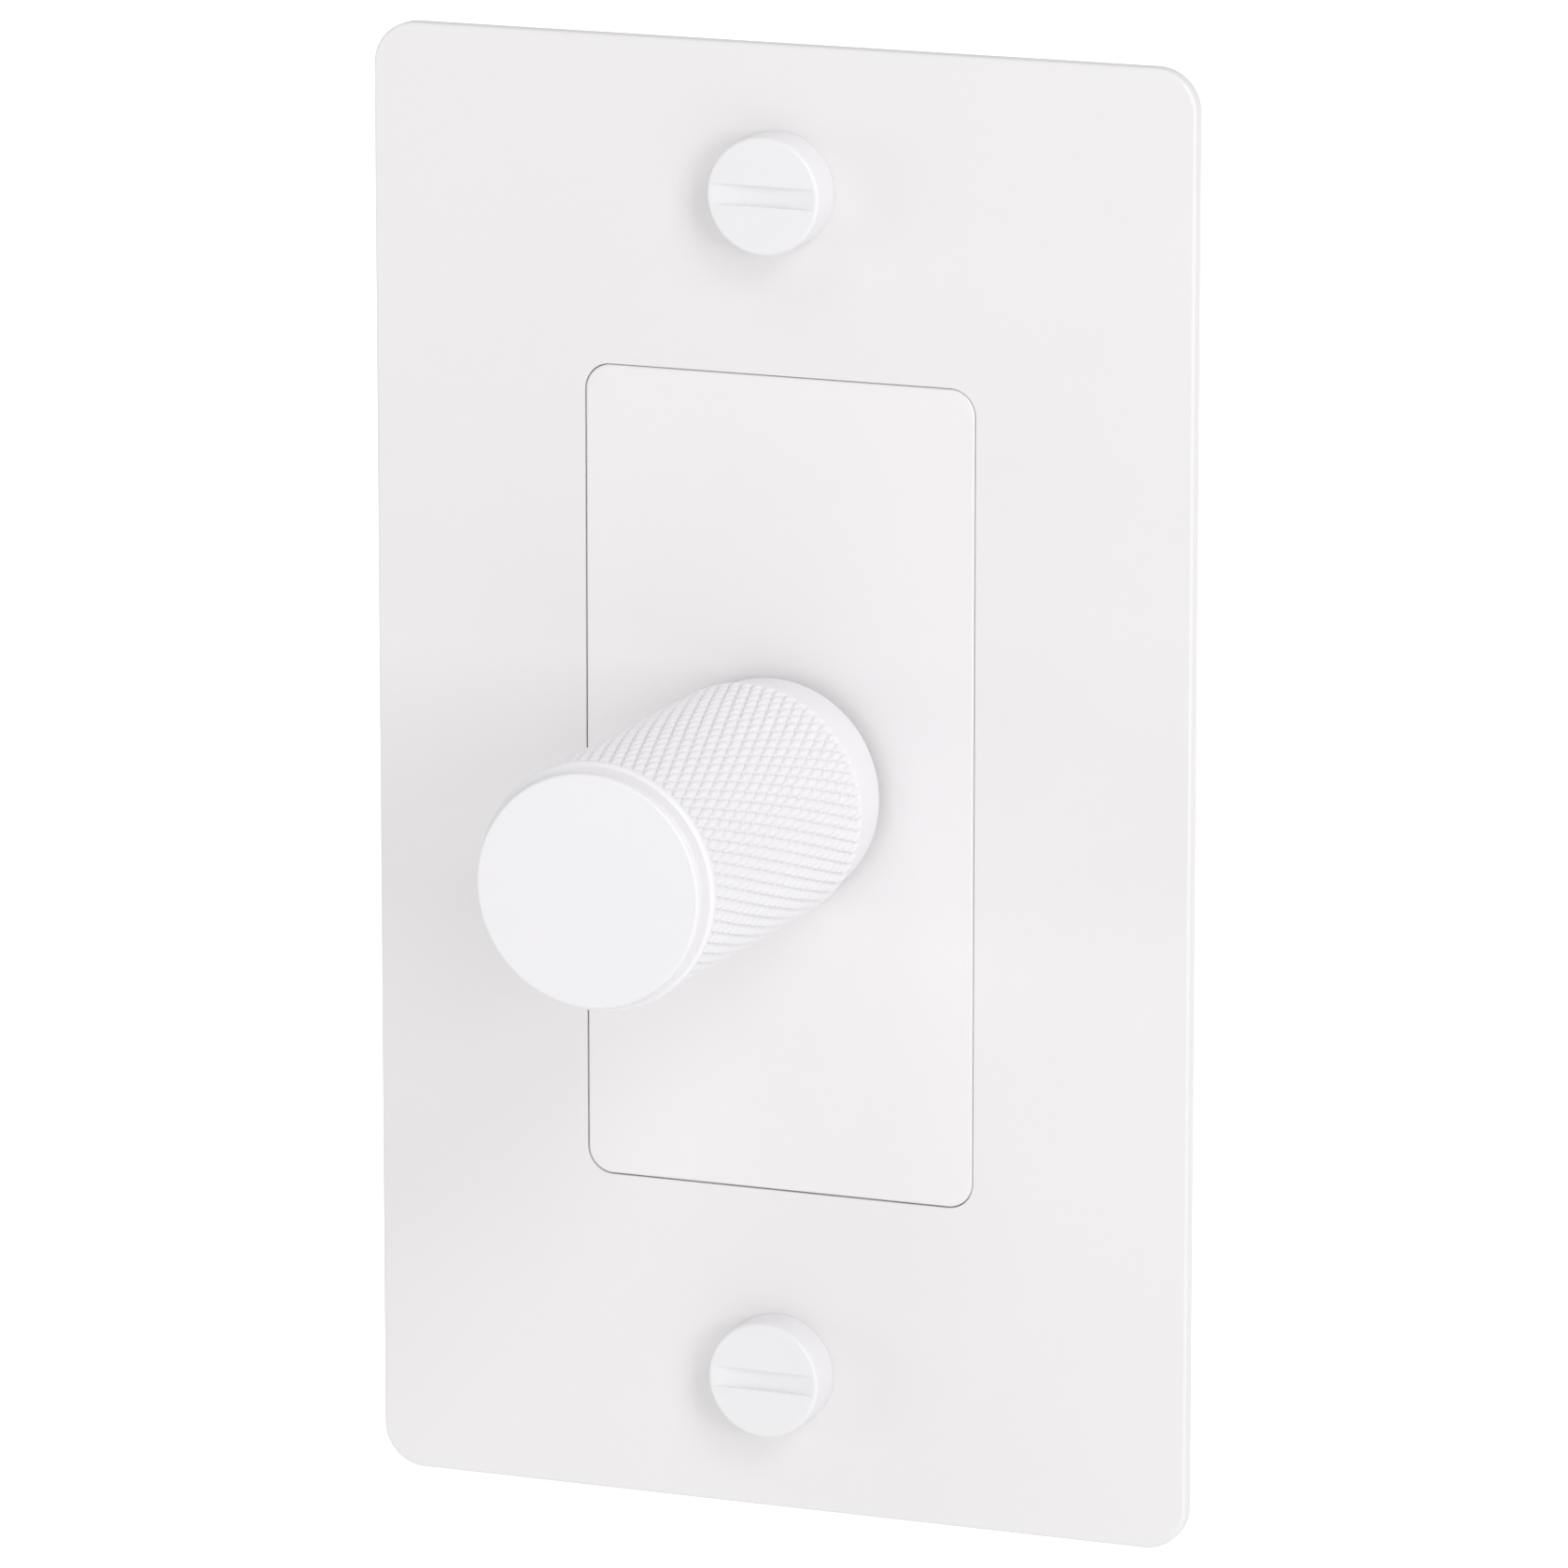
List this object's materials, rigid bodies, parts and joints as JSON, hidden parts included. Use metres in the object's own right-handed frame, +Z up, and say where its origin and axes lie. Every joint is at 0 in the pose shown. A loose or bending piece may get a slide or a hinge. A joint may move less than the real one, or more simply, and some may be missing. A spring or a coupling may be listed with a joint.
{
  "type": "rotary dimmer switch",
  "caption": "Wall dimmer: flat face plate with coin-slot screws and a flush insert, a long knurled knob that turns to dim and pushes to switch, and its works behind.",
  "frame": {"origin": "on the wall plane (the back of the face plate's rim), on the knob's axis at the plate's centre", "axes": "+Y into the wall, +Z up, +X to the right as the user faces the plate; the knob points along -Y"},
  "size_m": [0.07, 0.0743, 0.12],
  "materials": {
    "white_plate": "fine satin powder coat",
    "white_knob": "satin powder coat over a diamond knurl",
    "white_screw": "satin powder coat",
    "strap_metal": "zinc-plated pressing",
    "housing_plastic": "fine spark texture",
    "bright_steel": "plated",
    "brass": "turned or pressed, bare",
    "nylon": "natural moulding",
    "phenolic": "paper laminate",
    "carbon": "printed carbon film",
    "silver": "silvered contact",
    "dark_plastic": "glass-filled moulding",
    "board_green": "solder resist",
    "epoxy_black": "moulded epoxy",
    "pad_grey": "silicone sheet",
    "tinned": "tinned",
    "ferrite": "sintered ferrite",
    "copper": "enamelled copper wire",
    "film_box": "moulded box",
    "fuse_black": "moulded cap",
    "ceramic_blue": "dipped",
    "resistor_body": null,
    "diac_glass": "lacquered glass",
    "earth_green": "green plating"
  },
  "bodies": {
    "device": {"face_plate": "white_plate", "centre_plate": "white_plate", "plate_screws": "white_screw", "mounting_strap": "strap_metal", "shaft_bush": "brass", "bush_nut": "bright_steel", "lock_washer": "bright_steel", "pot_housing": "dark_plastic", "pot_wafer": "phenolic", "carbon_track": "carbon", "collector_ring": "silver", "pot_terminals": "tinned", "pot_cover": "dark_plastic", "switch_lid": "dark_plastic", "switch_spring": "bright_steel", "fixed_contacts": "silver", "switch_housing": "dark_plastic", "rear_housing": "housing_plastic", "terminal_plates": "brass", "terminal_screws": "brass", "case_screws": "bright_steel", "board_screws": "bright_steel", "earth_screw": "earth_green", "triac_pad": "pad_grey", "triac_body": "epoxy_black", "triac_tab": "tinned", "triac_legs": "tinned", "triac_screw": "bright_steel", "choke_core": "ferrite", "choke_winding": "copper", "film_capacitor": "film_box", "film_capacitor_leads": "tinned", "fuse_body": "fuse_black", "fuse_leads": "tinned", "disc_capacitors": "ceramic_blue", "disc_capacitor_leads": "tinned", "resistor_bodies": "resistor_body", "resistor_leads": "tinned", "diac_bodies": "diac_glass", "diac_leads": "tinned", "circuit_board": "board_green"},
    "rotor": {"pot_rotor": "nylon", "wiper": "brass"},
    "knob": {"knob_body": "white_knob", "knob_insert": "nylon", "shaft": "bright_steel", "shaft_clip": "bright_steel"},
    "plunger": {"switch_plunger": "nylon", "moving_contact": "silver"}
  },
  "joints": [
    {"name": "dial_turn", "type": "hinge", "parent": "device", "child": "rotor", "pos_m": [0, 0, 0], "axis": [0, 1, 0], "range_deg": [0, 270]},
    {"name": "knob_push", "type": "slide", "parent": "rotor", "child": "knob", "axis": [0, 1, 0], "range_m": [0, 0.001], "stiffness_N_per_m": 1000, "springref_m": -0.002},
    {"name": "plunger_push", "type": "slide", "parent": "device", "child": "plunger", "axis": [0, 1, 0], "range_m": [0, 0.001], "deforming": ["switch_spring"]}
  ],
  "couplings": [
    {"joint": "plunger_push", "follows": "knob_push", "ratio": 1}
  ]
}
